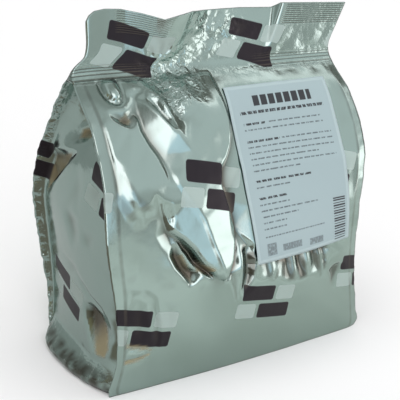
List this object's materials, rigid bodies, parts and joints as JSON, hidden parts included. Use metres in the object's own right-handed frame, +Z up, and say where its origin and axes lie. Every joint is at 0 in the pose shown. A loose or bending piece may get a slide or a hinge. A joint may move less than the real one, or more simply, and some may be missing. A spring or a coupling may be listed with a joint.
{
  "type": "cement bag",
  "caption": "Flat-bottomed bag of cement in shiny metallised film, with sealed corners, a crimped and folded top seal and a paper label on the front.",
  "frame": {"origin": "on the floor, at the middle of the flat base", "axes": "+Z up, -Y out of the front that carries the label, +X to the right of someone who faces the label"},
  "size_m": [0.2364, 0.1379, 0.2434],
  "materials": {
    "film": "glossy crumpled metallised film with a dark and pale print",
    "label_paper": "satin coated paper with plain grey print"
  },
  "bodies": {
    "root": {"bag": "film", "label": "label_paper"}
  },
  "joints": []
}
